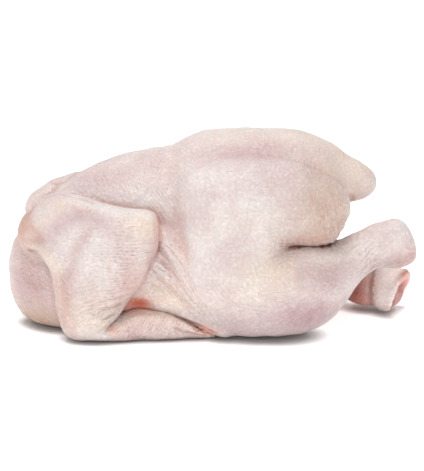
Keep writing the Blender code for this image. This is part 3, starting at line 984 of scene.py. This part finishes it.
class ChickenColours(bpy.types.PropertyGroup):
    skin: tint("Skin", "The skin over plain flesh", 0.78, 0.655, 0.64)
    # also the painted highlight on ridges
    skin_pale: tint("Pale skin", "The lightest skin", 0.86, 0.78, 0.75)
    # also the painted highlight along the wing's brace
    fat: tint("Fat", "Skin over fat", 0.89, 0.735, 0.61)
    # also painted shade low down, in the wing's hollows and on the lowered leg
    lean: tint("Muscle", "Skin over muscle", 0.58, 0.38, 0.395)
    # also painted shade in creases, in wrinkle troughs, along the flank's valley and along the wing's groove
    flush: tint("Flush", "Pink and salmon skin in the folds", 0.73, 0.445, 0.39)
    # also the light end of the painted shade along the creases, and painted shade on the rump and under the
    # breast
    tan: tint("Tan", "Darker skin round the tail and under the breast", 0.62, 0.42, 0.315)
    # also painted light on the drumstick under the rump and on the lower flank
    sinew: tint("Sinew", "Pale skin and sinew round the cut end of a leg", 0.98, 0.85, 0.81)
    # also painted shade on the lowered leg
    raw: tint("Raw flesh", "Bare flesh and membrane in the hollows and on the cut", 0.95, 0.24, 0.13)
    # also the dark end of the painted shade along the creases, and painted shade on the lowered leg
    blood: tint("Blood", "Blood along the deepest creases", 0.26, 0.06, 0.04)


class StageSettings(bpy.types.PropertyGroup):
    lens: bpy.props.FloatProperty(
        name="Lens", description="Focal length", default=100.0, min=10.0, subtype="DISTANCE_CAMERA",
    )
    distance: bpy.props.FloatProperty(
        name="Distance", description="From the camera to the bird's middle",
        default=0.942, min=0.3, unit="LENGTH",
    )
    raised: bpy.props.FloatProperty(
        name="Camera angle", description="How far above level the camera stands",
        default=np.radians(14), subtype="ANGLE",
    )
    aim_height: bpy.props.FloatProperty(
        name="Aim height", description="Height that the camera looks at",
        default=0.061, min=0.0, unit="LENGTH",
    )
    key_light: brightness("Key light", "Power of the large light above", 10.5)
    fill_light: brightness("Fill light", "Power of the light beside the camera", 1.1)
    low_light: brightness("Low light", "Power of the small light at the tail end", 0.021)
    sky: bpy.props.FloatProperty(
        name="Room light", description="Strength of the even white light", default=0.47, min=0.0,
    )
    floor: tint("Floor", "The pale floor", 0.93, 0.93, 0.93)


class CHICKEN_OT_skin(bpy.types.Operator):
    """Builds the whole bird as one closed skin with its folds, wrinkles and tints."""

    bl_idname = "chicken.skin"
    bl_label = "Build Chicken"

    def execute(self, context):
        sizes = context.scene.chicken_sizes
        points, quads = skin_surface(sizes.grid_step / MM)
        side, wing = left_side(points)
        values = tissue_and_painted_shading(points, side, wing)
        values["across"], values["wrinkle"] = wrinkles(points, side, wing)
        normals = corner_normals(points, quads)
        facing = normals * np.where(points[:, 1:2] > 0, FLIP, 1)
        values["seam"], values["seam_depth"], values["seam_red"] = creases(points, side, facing)
        rise = sizes.relief * relief(points, side, wing) * ease(points[:, 2], 0.3, 3)
        points = points + normals * rise[:, None]
        # painted shade in creases and painted highlight on ridges: how far smoothing lifts each point
        values["crease"] = 0.5 * hollows(points, quads, 4, 0.25) + 0.5 * hollows(points, quads, 24, 1.6)
        # painted shade on skin that faces down, strongest low down
        values["damp"] = ease(-normals[:, 2], -0.15, 0.8) * (1 - 0.5 * ease(points[:, 2], 50, 110))
        points[points[:, 2] < RESTS_BELOW, 2] = 0
        shift = (points[:, :2].min(0) + points[:, :2].max(0)) / 2
        points[:, :2] += np.add(*CAD_BOX)[:2] / 2 / MM - shift
        bird = put_in_mesh("whole_chicken", points * MM, quads, values)
        bird["middle"] = (shift * MM).tolist()  # how far the bird was moved, for the stage
        bird.data.materials.append(skin_material(sizes, context.scene.chicken_colours))
        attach(bird, "root")
        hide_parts("chicken")
        return {"FINISHED"}


def stand(name, data, place, way):
    """A light or camera put at a place and facing this way, with its top up."""
    item = bpy.data.objects.new(name, data)
    item.location = place
    item.rotation_euler = way.to_track_quat("-Z", "Y").to_euler()
    bpy.context.scene.collection.objects.link(item)
    return item


def lamp(name, place, aim, size, power, spread=np.pi):
    """A round soft light of this size in metres at a place, turned to its aim."""
    light = bpy.data.lights.new(name, "AREA")
    light.shape = "DISK"
    light.size = size
    light.energy = power
    light.spread = spread
    stand(name, light, place, Vector(aim) - Vector(place))


def paper_floor(shift):
    """The floor as a grid, fine near the bird, with each point's distance in mm from the bird above it.

    That distance is the bird's field at FLOOR_GAP above the floor.
    """
    lines = [
        np.concatenate([[-FLOOR_HALF], np.arange(-half, half, FLOOR_STEP), [FLOOR_HALF]])
        for half in FLOOR_FINE
    ]
    places = np.stack(np.meshgrid(*lines, [0.0], indexing="ij"), -1).reshape(-1, 3)
    rows = np.arange(len(places)).reshape(len(lines[0]), len(lines[1]))
    quads = np.stack([rows[:-1, :-1], rows[1:, :-1], rows[1:, 1:], rows[:-1, 1:]], -1).reshape(-1, 4)
    away = chicken(np.clip(places + shift, -0.25, 0.25) / MM + (0, 0, FLOOR_GAP))
    return put_in_mesh("floor", places, quads, {"away": np.clip(away, 0, 60)})


class CHICKEN_OT_stage(bpy.types.Operator):
    """Adds the pale floor, the soft lights and the camera."""

    bl_idname = "chicken.stage"
    bl_label = "Build Stage"

    def execute(self, context):
        scene = context.scene
        stage = scene.chicken_stage
        middle = bpy.data.objects["whole_chicken"]["middle"]
        floor = paper_floor(np.array([*middle, 0.0]))
        floor.data.materials.append(paper_material(stage))
        world = bpy.data.worlds.new("studio")
        world.use_nodes = True
        background = world.node_tree.nodes["Background"].inputs
        background["Color"].default_value = WHITE
        background["Strength"].default_value = stage.sky
        scene.world = world
        aim = Vector((AIM_ALONG - middle[0], 0, stage.aim_height))
        cut_end = (aim[0] + CUT_END_ALONG, 0, 0)
        lamp("key", (-0.15, -0.1, 1.3), aim, 1.0, stage.key_light)
        lamp("fill", (-0.35, -1.4, 0.75), aim, 0.8, stage.fill_light)
        lamp("low", (0.75, -1.0, 0.22), cut_end, 0.06, stage.low_light, np.radians(4))
        camera = bpy.data.cameras.new("camera")
        camera.lens = stage.lens
        camera.sensor_width = 36
        back = Vector((0, -np.cos(stage.raised), np.sin(stage.raised)))
        scene.camera = stand("camera", camera, aim + back * stage.distance, -back)
        scene.view_settings.view_transform = "Standard"
        return {"FINISHED"}


class CHICKEN_PT_panel(bpy.types.Panel):
    bl_label = "Raw Chicken"
    bl_idname = "CHICKEN_PT_panel"
    bl_space_type = "VIEW_3D"
    bl_region_type = "UI"
    bl_category = "Chicken"

    def draw(self, context):
        for group, settings in GROUPS.items():
            box = self.layout.box()
            for name in settings.__annotations__:
                box.prop(getattr(context.scene, group), name)
            if group in OPERATORS:
                box.operator(OPERATORS[group])


CLASSES = (ChickenSizes, ChickenColours, StageSettings, CHICKEN_OT_skin, CHICKEN_OT_stage, CHICKEN_PT_panel)
GROUPS = {"chicken_sizes": ChickenSizes, "chicken_colours": ChickenColours, "chicken_stage": StageSettings}
OPERATORS = {"chicken_sizes": "chicken.skin", "chicken_stage": "chicken.stage"}


def register():
    for cls in CLASSES:
        bpy.utils.register_class(cls)
    for name, group in GROUPS.items():
        setattr(bpy.types.Scene, name, bpy.props.PointerProperty(type=group))


def unregister():
    for name in GROUPS:
        delattr(bpy.types.Scene, name)
    for cls in reversed(CLASSES):
        bpy.utils.unregister_class(cls)


def main():
    register()
    bpy.ops.chicken.skin()
    bpy.ops.chicken.stage()


if __name__ == "__main__":
    main()
